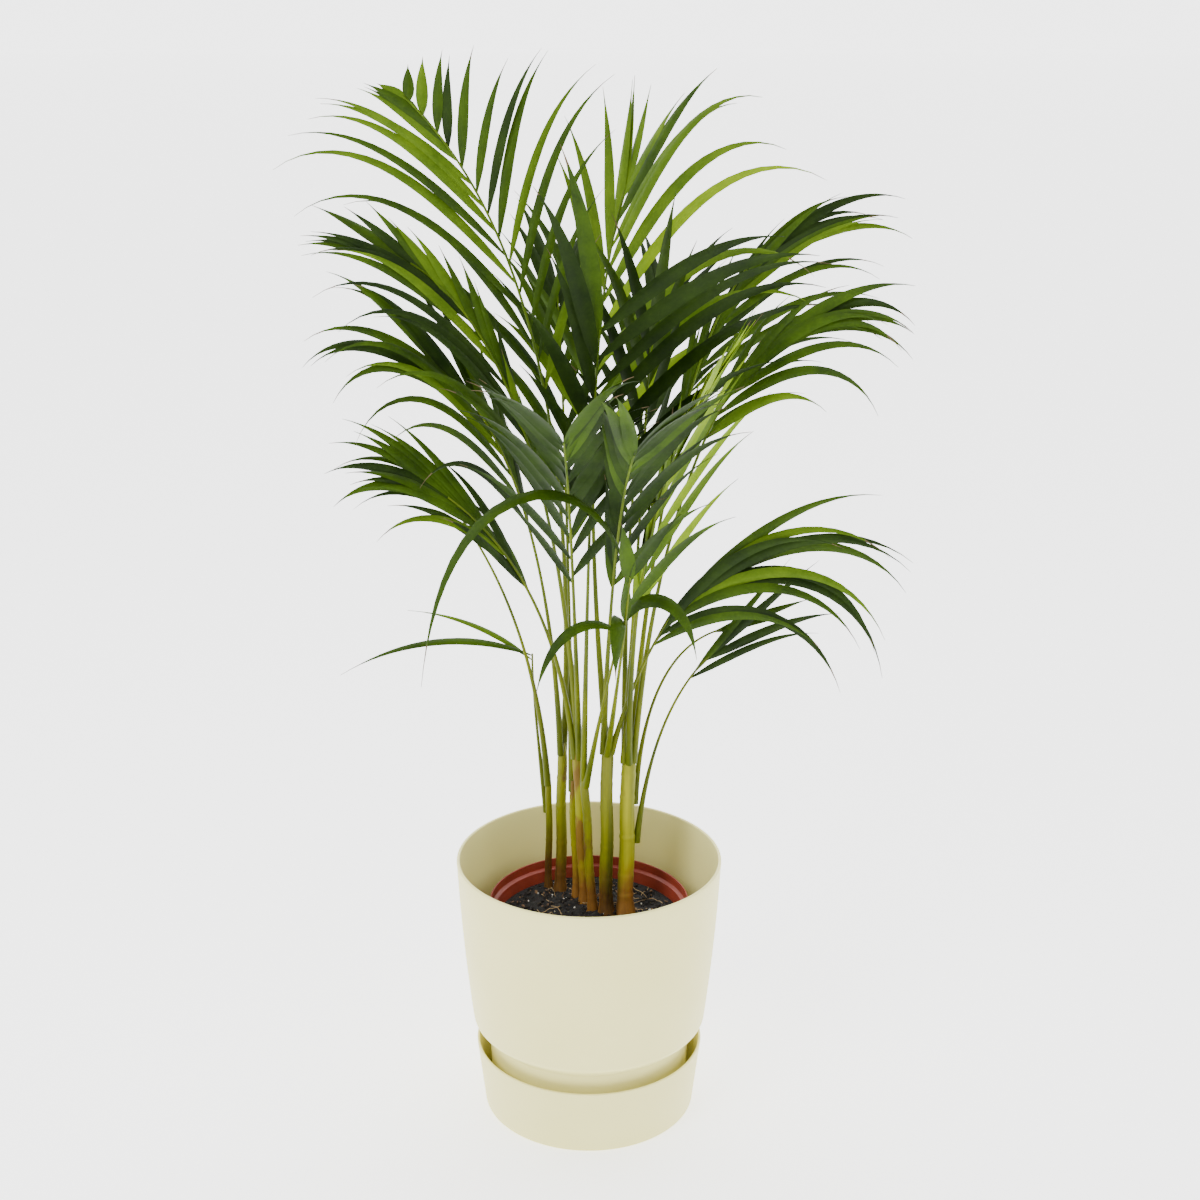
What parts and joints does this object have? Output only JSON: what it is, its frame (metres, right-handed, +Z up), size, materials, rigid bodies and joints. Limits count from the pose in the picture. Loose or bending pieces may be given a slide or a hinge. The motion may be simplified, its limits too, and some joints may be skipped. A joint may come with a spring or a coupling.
{
  "type": "potted areca palm",
  "caption": "Bushy areca palm with thin canes and arching feathery fronds, in a grower's pot set inside a pale plastic planter with a deep saucer.",
  "frame": {"origin": "on the planter's axis, at the flat underside of its saucer", "axes": "+Z up, the picture looks along +Y, +X to the right"},
  "size_m": [0.5549, 0.5106, 0.9874],
  "materials": {
    "planter_plastic": "satin cream plastic",
    "cup_plastic": "terracotta-coloured thin plastic",
    "soil": "dark moist potting soil",
    "cane": "smooth yellow-green stem",
    "leaf": "satin green leaf"
  },
  "bodies": {
    "root": {"saucer": "planter_plastic", "planter": "planter_plastic", "nursery_pot": "cup_plastic", "soil": "soil", "cane_a": "cane", "cane_b": "cane", "cane_c": "cane", "cane_d": "cane", "cane_e": "cane", "cane_f": "cane", "cane_g": "cane", "frond_top_left": "leaf", "frond_top_right": "leaf", "frond_upright": "leaf", "frond_right_high": "leaf", "frond_right_mid": "leaf", "frond_bright": "leaf", "frond_low_right": "leaf", "frond_small_right": "leaf", "frond_thin_right": "leaf", "frond_left_high": "leaf", "frond_left_front": "leaf", "frond_left_mid": "leaf", "frond_left_low": "leaf", "frond_left_thin": "leaf", "frond_lowest_left": "leaf", "frond_front_bent": "leaf", "frond_front_short": "leaf", "frond_front_left": "leaf", "frond_front_right": "leaf", "frond_back_left": "leaf", "frond_back_right": "leaf"}
  },
  "joints": []
}
